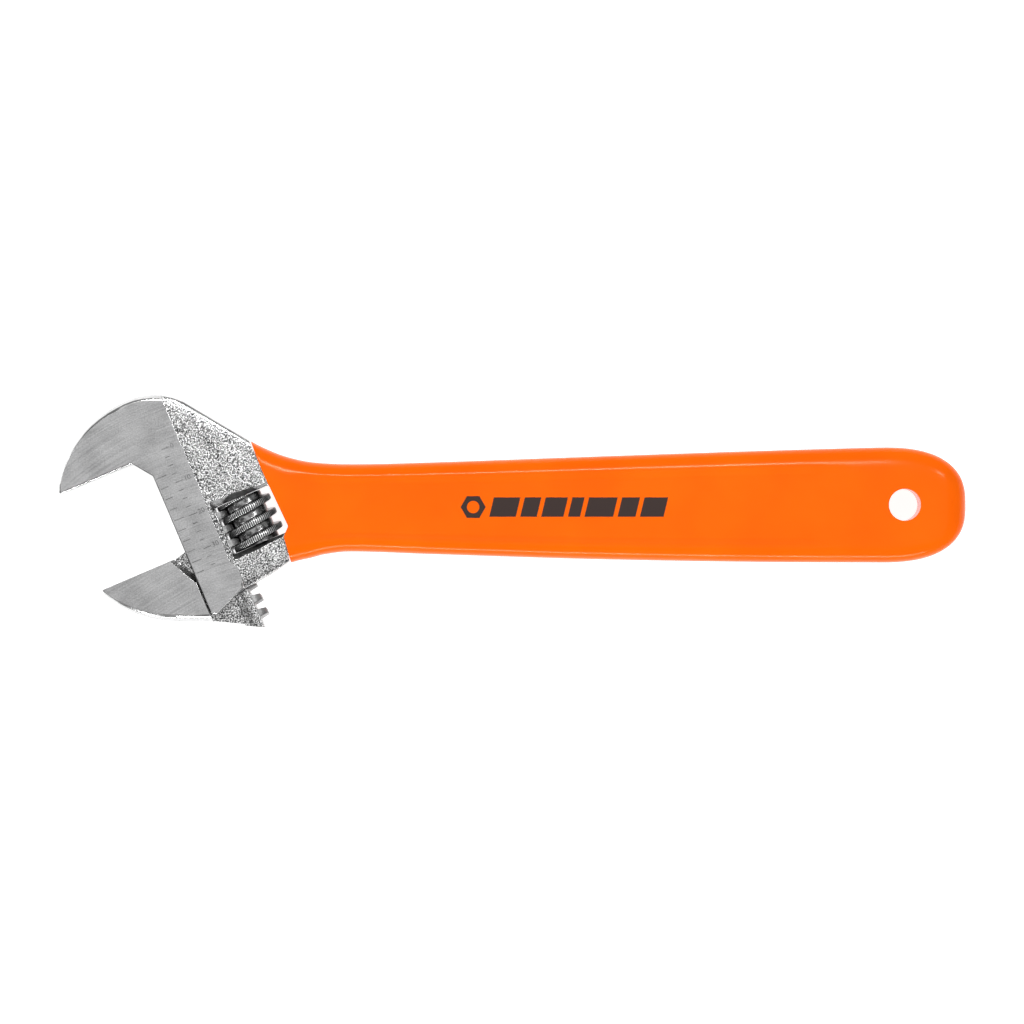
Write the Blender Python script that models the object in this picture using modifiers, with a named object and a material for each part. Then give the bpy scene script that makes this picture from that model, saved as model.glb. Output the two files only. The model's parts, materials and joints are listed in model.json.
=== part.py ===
"""Adjustable wrench, 250 mm size, lying flat.

Six pieces: the forged frame (fixed jaw, head and handle bar), the hook jaw that slides in it,
the knurl that drives the jaw's rack, the knurl's pin and spring, and the dipped vinyl grip.

Plan sizes use two frames that share one origin, the corner where the throat meets the fixed
jaw's face. In the handle frame x runs along the handle. The jaw frame is the handle frame
turned by HEAD_ANGLE: x runs across, from the throat to the handle, and y runs along the jaw's
travel, 0 at the fixed jaw's face and negative towards the sliding jaw.
"""
import math

import bmesh
import bpy
from mathutils import Matrix, Vector

MM = 0.001
GAP = 0.3 * MM  # between pieces that rest on each other

# Head and fixed jaw
HEAD_ANGLE = math.radians(23)
JAW_THICKNESS = 15.4 * MM
FRAME_SIDE_LAND = 9.6 * MM  # height of the frame's upright side, between its rounded edges
NECK_RECESS_AT_HEAD = 1.1 * MM  # of the as-forged surface, below the ground face
NECK_RECESS_AT_GRIP = 2.4 * MM
NECK_EDGE_POWER = 16
THROAT_CORNER = (4.05 * MM, 5.4 * MM)  # legs of the slant from the fixed jaw's face to the throat

# Jaw opening and travel
OPENING = 29.0 * MM
CLOSED_OPENING = 0.3 * MM
WEB_THICKNESS = 4.4 * MM
WEB_ABOVE_FACE = 1.1 * MM
SLOT_END_CLEARANCE = 0.4 * MM  # above the web with the jaws closed
JAW_SIDE_LAND = 7.6 * MM

# Rail, rack and knurl
RAIL_X = 11.3 * MM
RAIL_RADIUS = 4.2 * MM
RAIL_CLEARANCE = 0.35 * MM
RAIL_TOP_ABOVE_FACE = 9.5 * MM  # from the gripping face, towards the fixed jaw
RAIL_LENGTH = 38.0 * MM  # before its lower end is cut to the slope of the jaw's foot
RAIL_CHAMFER = 1.3 * MM
RAIL_FOOT = (28.6 * MM, 24.3 * MM)  # below the face, at the rack's side and at the web's
RAIL_FOOT_X = 5.3 * MM  # from the rail's axis to the foot's web side
BORE_END_CLEARANCE = 0.6 * MM  # above the rail with the jaws closed
RACK_ROOT_X = 0.9 * MM  # roots of the rack's teeth, from the rail's axis
PITCH = 4.2 * MM  # of the rack's teeth, and the knurl's lead
KNURL_RADIUS = 7.6 * MM
KNURL_CORE_RADIUS = 5.4 * MM
KNURL_LENGTH = 13.8 * MM
RIDGE_ROOT_THICKNESS = 2.2 * MM
RIDGE_CREST_THICKNESS = 1.7 * MM
RIDGE_SHOULDER = 0.5 * MM  # height of the crest's rounded part
RIDGE_SUNK = 0.6 * MM  # depth of the ridge's foot inside the core
RIDGE_TURNS = 4  # before the ridge is cut to the knurl's length
RIDGE_SET_BACK = 0.372  # of a ring step, so that no corner falls on the knurl's end planes
MESH_CLEARANCE = 0.25 * MM  # between a ridge's flank and a tooth
CREST_CLEARANCE = 0.5 * MM  # from a ridge's crest to the root between two teeth
TIP_CLEARANCE = 0.2 * MM  # from a tooth's tip to the knurl's core
TOOTH_NIP = 0.15 * MM  # how much narrower a tooth space is at its root
FIRST_TOOTH_ABOVE_FACE = 6.0 * MM
END_PLAY = (0.3 * MM, 0.15 * MM)  # in the window, at the knurl's spring end and at its seat
RING_STEPS = 24

# Knurl window
WINDOW_LEFT_X = 11.5 * MM
WINDOW_SIDE_PLAY = 1.5 * MM  # from the knurl to the window's wall at the handle end
WINDOW_LAND = 9.2 * MM  # height of the window's upright wall; above it the walls flare out
WINDOW_FLARE = (3.4 * MM, 2.85 * MM)  # at the walls above and below the knurl
WINDOW_LEFT_FLARE = 0.9 * MM
WINDOW_CORNER = 1.6 * MM

# Knurl pin and spring
PIN_RADIUS = 1.75 * MM
PIN_THREAD_STEP = 0.75 * MM  # from the plain shank's surface out to the thread's crest
PIN_CLEARANCE = 0.25 * MM
PIN_BLIND_DEPTH = 6.5 * MM  # above the window
PIN_THREAD_LENGTH = 6.2 * MM
PIN_SLOT = (0.9 * MM, 1.2 * MM)  # width and depth
PIN_SEAT_BELOW_WINDOW = 1.8 * MM
SPRING_WIRE_RADIUS = 0.3 * MM
SPRING_TURNS = 4
SPRING_INNER_CLEARANCE = 0.55 * MM
SPRING_OUTER_CLEARANCE = 0.4 * MM
SPRING_POCKET_DEPTH = 4.5 * MM

# Handle and grip
HANDLE_END = 229.7 * MM  # x of the grip's far end, in the handle frame
END_CAP = 24.7 * MM  # length of the grip's rounded end
END_CAP_POWER = 2.55
GRIP_THICKNESS = 14.4 * MM
GRIP_EDGE_POWER = 3.6
VINYL = 2.0 * MM
BAR_EDGE_POWER = 7.0
PANEL_DEPTH = 0.7 * MM  # of the shallow panel along each side of the handle
PANEL_END = 30 * MM  # from the grip's far end
PANEL_FADE = 20 * MM  # length over which the panel sinks at both its ends
PANEL_SIDES = (0.45, 0.78)  # of the half width: where the panel's side starts and ends
CAP_THINNING_POWER = 8  # how late the end cap gets thinner
TIP_SHARE = (0.06, 0.15)  # of the width and thickness, left at the flat tip
GRIP_START = (24.5 * MM, 36 * MM)  # x of the first section's upper and lower ends
BAR_START = (23 * MM, 34.5 * MM)
GRIP_POINTS = 32  # around a section
BAR_POINTS = 24
HOLE_FROM_END = 17.5 * MM
HOLE_RADIUS = 4.45 * MM
HOLE_LINING = 1.0 * MM
GRIP_STATIONS = 34
BAR_STATIONS = 20

# The handle's two edges, in millimetres in the handle frame. From the head to the waist, the
# shoulder has its own points, and the foot's flare is a share of its whole drop below the waist.
# From the waist to the rounded end, x is a share of that stretch.
WAIST_X = 57 * MM
FOOT_BELOW_FACE = 8.3 * MM  # the lower edge where it meets the head, below the sliding jaw's face
SHOULDER = [(8, 17.6), (20, 10.6), (29.5, 4.9), (34.6, 2.4), (39.6, 0.55), (46.3, -0.85)]
FOOT_FLARE = [(27, 1.0), (36, 0.52), (40.7, 0.275), (46.3, 0.15), (50, 0.066)]
HANDLE_UPPER = [(0, -1.41), (0.15, -0.93), (0.455, 0.69), (0.76, 2.24), (1, 3.25), (1.18, 3.6)]
HANDLE_LOWER = [(0, -26.0), (0.15, -26.7), (0.455, -28.1), (0.76, -28.9), (1, -29.07),
                (1.18, -29.2)]

STEEL = ((0.72, 0.72, 0.73), 1.0, 0.28)
KNURL_STEEL = ((0.33, 0.33, 0.35), 1.0, 0.35)
SPRING_STEEL = ((0.55, 0.55, 0.56), 1.0, 0.3)
ORANGE_VINYL = ((0.97, 0.15, 0.008), 0.0, 0.3)

TOOTH_ROOT_X = RAIL_X + RACK_ROOT_X
KNURL_X = TOOTH_ROOT_X + CREST_CLEARANCE + KNURL_RADIUS
TOOTH_TIP_X = KNURL_X - KNURL_CORE_RADIUS - TIP_CLEARANCE
WINDOW_RIGHT_X = KNURL_X + KNURL_RADIUS + WINDOW_SIDE_PLAY
FIRST_TOOTH_Y = -OPENING + FIRST_TOOTH_ABOVE_FACE
KNURL_Y = FIRST_TOOTH_Y - PITCH  # the knurl's middle, level with the second tooth
KNURL_TOP_Y = KNURL_Y + KNURL_LENGTH / 2
WINDOW_TOP_Y = KNURL_TOP_Y + END_PLAY[0]
WINDOW_BOTTOM_Y = KNURL_TOP_Y - KNURL_LENGTH - END_PLAY[1]
RAIL_TOP_Y = -OPENING + RAIL_TOP_ABOVE_FACE
RACK_TEETH = int((FIRST_TOOTH_Y - RAIL_TOP_Y + RAIL_LENGTH) / PITCH)
TRAVEL = OPENING - CLOSED_OPENING
BELOW_Y = RAIL_TOP_Y - RAIL_LENGTH - 12 * MM  # clear of everything below the head
PIN_THREAD_RADIUS = PIN_RADIUS + PIN_THREAD_STEP
SPRING_RADIUS = PIN_RADIUS + SPRING_INNER_CLEARANCE + SPRING_WIRE_RADIUS
SPRING_POCKET_RADIUS = SPRING_RADIUS + SPRING_WIRE_RADIUS + SPRING_OUTER_CLEARANCE
SQUARE_X = 62 * MM  # from here on the handle's sections are square to it
JAW_FRAME = Matrix.Rotation(HEAD_ANGLE, 4, "Z")
PITCH_LINE_RADIUS = (KNURL_RADIUS + KNURL_CORE_RADIUS) / 2
LEAD_ANGLE = math.atan2(PITCH, 2 * math.pi * PITCH_LINE_RADIUS)


# ---------------------------------------------------------------- scene and object helpers

def clear_scene():
    """Start from an empty scene."""
    for item in list(bpy.data.objects):
        bpy.data.objects.remove(item, do_unlink=True)


def new_collection(name):
    """A collection in the scene."""
    collection = bpy.data.collections.new(name)
    bpy.context.scene.collection.children.link(collection)
    return collection


clear_scene()
PARTS = new_collection("adjustable_wrench")
CUTTERS = new_collection("cutters")
ORIGIN = bpy.data.objects.new("wrench_origin", None)
PARTS.objects.link(ORIGIN)


def add_object(name, mesh, place=Matrix(), tool=False):
    """Put a mesh in the scene, as a piece or as a wire-drawn shaping tool."""
    item = bpy.data.objects.new(name, mesh)
    (CUTTERS if tool else PARTS).objects.link(item)
    item.parent = ORIGIN
    item.matrix_local = place
    if tool:
        item.display_type = "WIRE"
        item.hide_render = True
    return item


def mesh_from(bm, name):
    """Finish a bmesh: faces turned outwards, smooth where they are nearly level."""
    bmesh.ops.recalc_face_normals(bm, faces=bm.faces)
    mesh = bpy.data.meshes.new(name)
    bm.to_mesh(mesh)
    bm.free()
    mesh.shade_smooth()
    mesh.set_sharp_from_angle(angle=math.radians(35))
    return mesh


def loft(name, rings, place=Matrix(), tool=False):
    """A solid skinned over rings with equal counts of points, closed at both ends."""
    bm = bmesh.new()
    loops = [[bm.verts.new(point) for point in ring] for ring in rings]
    for near, far in zip(loops, loops[1:]):
        for i in range(len(near)):
            j = (i + 1) % len(near)
            bm.faces.new((near[i], near[j], far[j], far[i]))
    bm.faces.new(loops[0])
    bm.faces.new(loops[-1])
    return add_object(name, mesh_from(bm, name), place, tool)


def prism(name, outline, half_height, place=Matrix(), tool=False):
    """A flat outline in x and y, extruded both ways along z."""
    return loft(name, [[(x, y, z) for x, y in outline] for z in (-half_height, half_height)],
                place, tool)


def turned(name, profile, place=Matrix(), tool=False, steps=RING_STEPS):
    """A profile of radius and height, from its top on the axis to its bottom, turned on z."""
    mesh = bpy.data.meshes.new(name)
    points = [(radius, 0, height) for radius, height in profile]
    mesh.from_pydata(points, [(i, i + 1) for i in range(len(points) - 1)], [])
    item = add_object(name, mesh, place, tool)
    screw = item.modifiers.new("turn", "SCREW")
    screw.steps = screw.render_steps = steps
    screw.use_merge_vertices = True
    screw.merge_threshold = 0.01 * MM
    return item


def combine(target, tool, operation="DIFFERENCE"):
    """Cut a tool from a piece, join it on, or keep only what both share."""
    boolean = target.modifiers.new(tool.name, "BOOLEAN")
    boolean.operation = operation
    boolean.object = tool
    boolean.solver = "EXACT"


def paint(item, name, finish):
    """Give a piece its own material."""
    colour, metallic, roughness = finish
    material = bpy.data.materials.new(name)
    material.use_nodes = True
    shader = material.node_tree.nodes["Principled BSDF"]
    shader.inputs["Base Color"].default_value = (*colour, 1)
    shader.inputs["Metallic"].default_value = metallic
    shader.inputs["Roughness"].default_value = roughness
    item.data.materials.append(material)


# ---------------------------------------------------------------- geometry helpers

def in_mm(points):
    """Points written in millimetres, in metres."""
    return [(x * MM, y * MM) for x, y in points]


def arc(start, end, radius, steps):
    """Points of a clockwise arc between two points, ends included, in the points' own unit."""
    start, end = Vector(start), Vector(end)
    half = (end - start) / 2
    rise = math.sqrt(radius ** 2 - half.length_squared)
    centre = start + half + Vector((half.y, -half.x)).normalized() * rise
    first = math.atan2(*reversed(start - centre))
    last = math.atan2(*reversed(end - centre))
    sweep = (first - last) % (2 * math.pi)
    return [(centre.x + radius * math.cos(first - sweep * i / steps),
             centre.y + radius * math.sin(first - sweep * i / steps)) for i in range(steps + 1)]


def rounded_box(left, right, bottom, top, radius, steps=4):
    """A rectangle with rounded corners, clockwise from its left side."""
    corners = [((left, top - radius), (left + radius, top)),
               ((right - radius, top), (right, top - radius)),
               ((right, bottom + radius), (right - radius, bottom)),
               ((left + radius, bottom), (left, bottom + radius))]
    points = []
    for start, end in corners:
        points += arc(start, end, radius, steps)
    return points


def edge_height(edge, x):
    """Height of a smooth edge through its points (millimetres) at x (metres)."""
    x = x / MM
    i = max(k for k in range(len(edge) - 1) if k == 0 or edge[k][0] <= x)
    x0, y0 = edge[i]
    x1, y1 = edge[i + 1]
    before, after = edge[max(i - 1, 0)], edge[min(i + 2, len(edge) - 1)]
    slope0 = (y1 - before[1]) / (x1 - before[0])
    slope1 = (after[1] - y0) / (after[0] - x0)
    t = (x - x0) / (x1 - x0)
    span = x1 - x0
    height = (y0 * (1 + 2 * t) * (1 - t) ** 2 + slope0 * span * t * (1 - t) ** 2
              + y1 * t * t * (3 - 2 * t) + slope1 * span * t * t * (t - 1))
    return height * MM


def ease(value, low, high):
    """Smooth step from 0 at low to 1 at high."""
    t = min(max((value - low) / (high - low), 0.0), 1.0)
    return t * t * (3 - 2 * t)


def handle_edges():
    """Both edges of the handle from the head to its end, as points in millimetres."""
    def along(share):
        return (WAIST_X + (HANDLE_END - END_CAP - WAIST_X) * share) / MM

    waist = HANDLE_LOWER[0][1]
    drop = waist + (OPENING + FOOT_BELOW_FACE) / MM
    upper = SHOULDER + [(along(share), y) for share, y in HANDLE_UPPER]
    lower = [(x, waist - share * drop) for x, share in FOOT_FLARE]
    return upper, lower + [(along(share), y) for share, y in HANDLE_LOWER]


def mouth():
    """Where the grip ends at the head, in the jaw frame, from the upper to the lower edge."""
    x, face = WINDOW_RIGHT_X / MM, -OPENING / MM
    return in_mm([(x - 0.5, 6.0), (x - 0.5, -7.4), (x - 0.7, -16.0), (x, face - 4.0),
                  (x - 2.3, face - 6.0), (x - 3.3, face - 13.5), (x - 3.8, face - 21.0)])


def section(upper, lower, half_thickness, power, count, panel=0.0):
    """A slab's cross-section between two edge points: a superellipse with a shallow panel."""
    upper, lower = Vector(upper), Vector(lower)
    centre, reach = (upper + lower) / 2, (upper - lower) / 2
    ring = []
    for i in range(count):
        angle = 2 * math.pi * (i + 0.5) / count
        cos, sin = math.cos(angle), math.sin(angle)
        across = math.copysign(abs(cos) ** (2 / power), cos)
        height = math.copysign(abs(sin) ** (2 / power), sin) * half_thickness
        height -= math.copysign(panel * (1 - ease(abs(across), *PANEL_SIDES)), height)
        point = centre + reach * across
        ring.append((point.x, point.y, height))
    return ring


def handle_sections(inset, half_thickness, power, count, stations, start_x, end_x, cap_trim):
    """Cross-sections along the handle, square to it past the waist and slanted at the head."""
    upper_start, lower_start = start_x
    upper_edge, lower_edge = handle_edges()
    rings = []
    for i in range(stations + 1):
        t = i / stations
        x = math.sin(t * math.pi / 2) * end_x  # closer together towards the far end
        upper_x = max(x, upper_start + (SQUARE_X - upper_start) * min(x / SQUARE_X, 1))
        lower_x = max(x, lower_start + (SQUARE_X - lower_start) * min(x / SQUARE_X, 1))
        upper_y, lower_y = edge_height(upper_edge, upper_x), edge_height(lower_edge, lower_x)
        across = (upper_y - lower_y) / 2 - inset
        middle = (upper_y + lower_y) / 2
        reach = Vector((upper_x - lower_x, 2 * across)) / 2
        centre = Vector(((upper_x + lower_x) / 2, middle))
        cap = (x - (end_x - cap_trim)) / cap_trim
        shrink = (1 - max(cap, 0) ** END_CAP_POWER) ** (1 / END_CAP_POWER) if cap < 1 else 0
        edge_shrink = (1 - max(cap, 0) ** CAP_THINNING_POWER) ** 0.5 if cap < 1 else 0
        shrink, edge_shrink = max(shrink, TIP_SHARE[0]), max(edge_shrink, TIP_SHARE[1])
        panel_end = HANDLE_END - PANEL_END
        panel = PANEL_DEPTH * ease(x, SQUARE_X - PANEL_FADE, SQUARE_X)
        panel *= 1 - ease(x, panel_end - PANEL_FADE, panel_end)
        rings.append(section(centre + reach * shrink, centre - reach * shrink,
                             half_thickness * edge_shrink, power, count, panel))
    return rings


def rounded_plate(name, soft, crisp, side_land, place):
    """A plate from two outlines, outer and face: soft edges roll over, crisp ones are nipped."""
    half = JAW_THICKNESS / 2
    land = side_land / 2
    rings = []
    levels = [(-1, step) for step in (90, 60, 30, 0)] + [(1, step) for step in (0, 30, 60, 90)]
    for side, step in levels:
        turn = math.radians(step)
        z = side * (land + (half - land) * math.sin(turn))
        ring = []
        for (outer, face), weight in ((soft, 1 - math.cos(turn)), (crisp, float(step == 90))):
            for (x0, y0), (x1, y1) in zip(outer, face):
                ring.append(((x0 + (x1 - x0) * weight) * MM, (y0 + (y1 - y0) * weight) * MM, z))
        rings.append(ring)
    return loft(name, rings, place)


def on_axis(x, y=0.0):
    """Place a piece turned on z so that its axis lies along the jaw's travel at (x, y)."""
    axes = Matrix(((-1, 0, 0, x), (0, 0, 1, y), (0, 1, 0, 0), (0, 0, 0, 1)))
    return JAW_FRAME @ axes


# ---------------------------------------------------------------- frame

def frame_plate():
    """The ground part of the frame: the fixed jaw and the band beside the throat."""
    back = (arc((-25.3, 2.4), (-2.0, 16.85), 31.0, 10)
            + arc((-2.0, 16.85), (10.9, 14.78), 20.46, 5)[1:])
    back_face = (arc((-24.65, 2.84), (-1.9, 15.35), 29.0, 10)
                 + arc((-1.9, 15.35), (10.83, 12.46), 19.0, 5)[1:])
    face = -OPENING / MM
    foot = [(10.9, face - 7.0), (12.0, face - 9.0), (11.9, face - 13.5), (11.6, face - 15.5),
            (7.3, face - 16.5), (1.3, face - 19.0)]
    foot_face = [(10.9, face - 7.0), (12.0, face - 9.0), (11.8, face - 12.9), (10.8, face - 13.9),
                 (7.2, face - 16.2), (1.4, face - 18.6)]
    corner_x, corner_y = THROAT_CORNER[0] / MM, THROAT_CORNER[1] / MM
    throat = [(0.0, face - 17.9), (0.0, -corner_y), (-corner_x, 0.0), (-25.5, 0.0), (-25.9, 0.7)]
    throat_face = [(0.2, face - 17.7), (0.2, 0.1 - corner_y), (-corner_x, 0.4), (-25.2, 0.4),
                   (-25.3, 1.1)]
    return rounded_plate("body", (back + foot, back_face + foot_face), (throat, throat_face),
                         FRAME_SIDE_LAND, JAW_FRAME)


def neck():
    """The as-forged part of the head: recessed, and thinner towards the handle."""
    face = -OPENING / MM
    upper = in_mm([(8.5, 14.9), (11.0, 14.7), (13.6, 13.0), (15.8, 11.0), (22.5, 1.9),
                   (30.6, -9.1), (38.2, -19.4)])
    lower = in_mm([(6.0, face - 16.0), (11.0, face - 15.6), (15.5, face - 15.0),
                   (19.0, face - 14.5), (23.0, face - 13.8), (30.6, face - 12.2),
                   (38.2, face - 10.6)])
    rings = []
    for up, low in zip(upper, lower):
        share = ease(up[0], 8.5 * MM, 34 * MM)
        recess = NECK_RECESS_AT_HEAD + (NECK_RECESS_AT_GRIP - NECK_RECESS_AT_HEAD) * share
        rings.append(section(up, low, JAW_THICKNESS / 2 - recess, NECK_EDGE_POWER,
                             BAR_POINTS))
    return loft("neck", rings, JAW_FRAME, tool=True)


def grip_zone(shift):
    """The plan area covered by the grip, moved towards the head by a shift."""
    near = [(x - shift, y) for x, y in mouth()]
    far = WINDOW_RIGHT_X + 30 * MM
    outline = near + [(far, near[-1][1]), (far, near[0][1])]
    return prism("grip_zone", outline, JAW_THICKNESS, JAW_FRAME, tool=True)


def handle_bar(name, growth):
    """The bar under the grip; growth makes the larger copy that hollows the grip."""
    end = HANDLE_END - VINYL - GAP + growth
    rings = handle_sections(VINYL + GAP - growth, GRIP_THICKNESS / 2 - VINYL - GAP + growth,
                            BAR_EDGE_POWER, BAR_POINTS, BAR_STATIONS, BAR_START, end,
                            END_CAP - VINYL - GAP + growth)
    bar = loft(name, rings, tool=True)
    hole = turned(name + "_hole", cylinder(HOLE_RADIUS + HOLE_LINING + GAP - growth,
                                           -JAW_THICKNESS, JAW_THICKNESS),
                  hole_place(), tool=True)
    combine(bar, hole)
    return bar


def hole_place():
    """The hang hole's middle, halfway between the handle's edges."""
    x = HANDLE_END - HOLE_FROM_END
    upper_edge, lower_edge = handle_edges()
    return Matrix.Translation((x, (edge_height(upper_edge, x) + edge_height(lower_edge, x)) / 2, 0))


def cylinder(radius, low, high, chamfer=0.0):
    """Profile of a cylinder, from its top to its bottom."""
    if chamfer:
        return [(0, high), (radius - chamfer, high), (radius, high - chamfer),
                (radius, low + chamfer), (radius - chamfer, low), (0, low)]
    return [(0, high), (radius, high), (radius, low), (0, low)]


def window():
    """The opening for the knurl: upright walls that flare out at both faces."""
    inner = rounded_box(WINDOW_LEFT_X, WINDOW_RIGHT_X, WINDOW_BOTTOM_Y, WINDOW_TOP_Y,
                        WINDOW_CORNER)
    outer = rounded_box(WINDOW_LEFT_X - WINDOW_LEFT_FLARE, WINDOW_RIGHT_X,
                        WINDOW_BOTTOM_Y - WINDOW_FLARE[1], WINDOW_TOP_Y + WINDOW_FLARE[0],
                        WINDOW_CORNER)
    face = JAW_THICKNESS / 2
    levels = [(outer, -face - GAP), (inner, -WINDOW_LAND / 2), (inner, WINDOW_LAND / 2),
              (outer, face + GAP)]
    return loft("window", [[(x, y, z) for x, y in ring] for ring, z in levels], JAW_FRAME,
                tool=True)


def make_body():
    """The forged frame, bored and slotted for the rail, the web, the knurl and its pin."""
    body = frame_plate()
    neck_tool = neck()
    combine(neck_tool, grip_zone(GAP))
    combine(body, neck_tool, "UNION")
    combine(body, handle_bar("bar", 0.0), "UNION")
    combine(body, window())

    bore_radius = RAIL_RADIUS + RAIL_CLEARANCE
    bore_top = RAIL_TOP_Y + TRAVEL + BORE_END_CLEARANCE
    bore = [(0, bore_top), (bore_radius - RAIL_CHAMFER, bore_top),
            (bore_radius, bore_top - RAIL_CHAMFER), (bore_radius, BELOW_Y), (0, BELOW_Y)]
    combine(body, turned("rail_bore", bore, on_axis(RAIL_X), tool=True, steps=32))

    top = WEB_ABOVE_FACE - CLOSED_OPENING + SLOT_END_CLEARANCE
    left = -THROAT_CORNER[0] - GAP
    slot = [(left, top), (RAIL_X, top), (RAIL_X, BELOW_Y), (left, BELOW_Y)]
    combine(body, prism("web_slot", slot, WEB_THICKNESS / 2 + GAP, JAW_FRAME, tool=True))

    reach = PIN_RADIUS + PIN_CLEARANCE
    seat = PIN_THREAD_RADIUS + PIN_CLEARANCE
    seat_y = WINDOW_BOTTOM_Y - PIN_SEAT_BELOW_WINDOW + GAP
    top = WINDOW_TOP_Y + PIN_BLIND_DEPTH + GAP
    hole = [(0, top), (reach, top), (reach, seat_y), (seat, seat_y), (seat, BELOW_Y), (0, BELOW_Y)]
    combine(body, turned("pin_hole", hole, on_axis(KNURL_X), tool=True))
    paint(body, "chromed_forging", STEEL)


# ---------------------------------------------------------------- sliding jaw

def jaw_plate():
    """The ground blade of the sliding jaw, with its rolled belly edge."""
    face = -OPENING / MM
    belly = [(-0.3, face - 20.4)] + arc((-9.0, face - 16.6), (-25.2, face - 2.3), 32.4, 9)
    belly_face = [(-0.35, face - 17.3)] + arc((-9.26, face - 14.35), (-25.15, face - 0.6), 31.0, 9)
    grip = [(-25.5, face - 0.5), (-25.4, face), (-0.3, face)]
    grip_face = [(-25.25, face - 0.45), (-25.2, face - 0.2), (-0.45, face - 0.2)]
    return rounded_plate("movable_jaw", (belly, belly_face), (grip, grip_face), JAW_SIDE_LAND,
                         JAW_FRAME)


def throat_relief():
    """Drafted corners cut from both sides of the blade, down to the web."""
    face = -OPENING / MM
    low = [(-4.2, face + 0.7), (1.0, face + 0.7), (1.0, face - 8.7)]
    high = [(-5.35, face + 0.7), (1.0, face + 0.7), (1.0, face - 11.4)]
    rings = [[(x, y, z) for x, y in in_mm(outline)]
             for outline, z in ((low, WEB_THICKNESS / 2), (high, JAW_THICKNESS / 2 + GAP))]
    relief = loft("throat_relief", rings, JAW_FRAME, tool=True)
    mirror = relief.modifiers.new("both_sides", "MIRROR")
    mirror.use_axis = (False, False, True)
    mirror.merge_threshold = 0.01 * MM
    return relief


def jaw_web():
    """The thin web that joins the blade to the rail through the frame's slot."""
    face = -OPENING / MM
    rail = RAIL_X / MM
    top = face + WEB_ABOVE_FACE / MM
    outline = [(-3.4, face - 0.3), (-2.6, face + 0.1), (0.1, top - 0.3), (3.0, top),
               (rail, top), (rail, face - 25.6), (7.3, face - 24.4), (-0.8, face - 20.0),
               (-3.4, face - 17.0)]
    return prism("web", in_mm(outline), WEB_THICKNESS / 2, JAW_FRAME, tool=True)


def tooth_gap(y_low, y_high):
    """Outline of the space between two teeth, from low to high at the ridge's crest line."""
    crest_x = KNURL_X - KNURL_RADIUS + RIDGE_SHOULDER
    flare = (RIDGE_ROOT_THICKNESS - RIDGE_CREST_THICKNESS) / 2
    outer_x = RAIL_X + RAIL_RADIUS + 1 * MM
    return [(TOOTH_ROOT_X, y_low + TOOTH_NIP), (crest_x, y_low), (outer_x, y_low - flare),
            (outer_x, y_high + flare), (crest_x, y_high), (TOOTH_ROOT_X, y_high - TOOTH_NIP)]


def rack_gaps():
    """All the spaces of the rack as one tool, slanted to the knurl's lead."""
    half = RIDGE_CREST_THICKNESS / 2 + MESH_CLEARANCE
    tool = bmesh.new()
    for i in range(RACK_TEETH + 1):
        y = FIRST_TOOTH_Y + PITCH / 2 - i * PITCH
        low, high = y - half, y + half
        if i == 0:
            high = RAIL_TOP_Y + PITCH
        if i == RACK_TEETH:
            low = RAIL_TOP_Y - RAIL_LENGTH - PITCH
        origin = Matrix.Translation((0, y, 0))
        slant = origin @ Matrix.Rotation(-LEAD_ANGLE, 4, "X") @ origin.inverted()
        ends = []
        for z in (-2 * RAIL_RADIUS, 2 * RAIL_RADIUS):
            ends.append([tool.verts.new(slant @ Vector((px, py, z)))
                         for px, py in tooth_gap(low, high)])
        count = len(ends[0])
        for k in range(count):
            tool.faces.new((ends[0][k], ends[0][(k + 1) % count], ends[1][(k + 1) % count],
                            ends[1][k]))
        tool.faces.new(ends[0])
        tool.faces.new(ends[1])
    return add_object("rack_gaps", mesh_from(tool, "rack_gaps"), JAW_FRAME, tool=True)


def rail_trim():
    """What lies beyond the tips of the rack's teeth and below the sloping foot of the rail."""
    far, top = RAIL_X + 2 * RAIL_RADIUS, RAIL_TOP_Y + PITCH
    foot = [(TOOTH_TIP_X, -OPENING - RAIL_FOOT[0]), (RAIL_X - RAIL_FOOT_X, -OPENING - RAIL_FOOT[1])]
    low = RAIL_TOP_Y - RAIL_LENGTH - PITCH
    outline = [(TOOTH_TIP_X, top), *foot, (foot[-1][0], low), (far, low), (far, top)]
    return prism("rail_trim", outline, JAW_THICKNESS, JAW_FRAME, tool=True)


def make_movable_jaw():
    """The hook jaw: blade, web and round rail with its rack."""
    jaw = jaw_plate()
    jaw.matrix_local = JAW_FRAME @ Matrix.Translation((RAIL_X, 0, 0))
    jaw.data.transform(Matrix.Translation((-RAIL_X, 0, 0)))
    combine(jaw, throat_relief())
    combine(jaw, jaw_web(), "UNION")
    rail = turned("rail", cylinder(RAIL_RADIUS, RAIL_TOP_Y - RAIL_LENGTH, RAIL_TOP_Y,
                                   RAIL_CHAMFER), on_axis(RAIL_X), tool=True, steps=32)
    combine(rail, rack_gaps())
    combine(rail, rail_trim())
    combine(jaw, rail, "UNION")
    paint(jaw, "chromed_jaw", STEEL)


# ---------------------------------------------------------------- knurl, pin and spring

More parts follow.
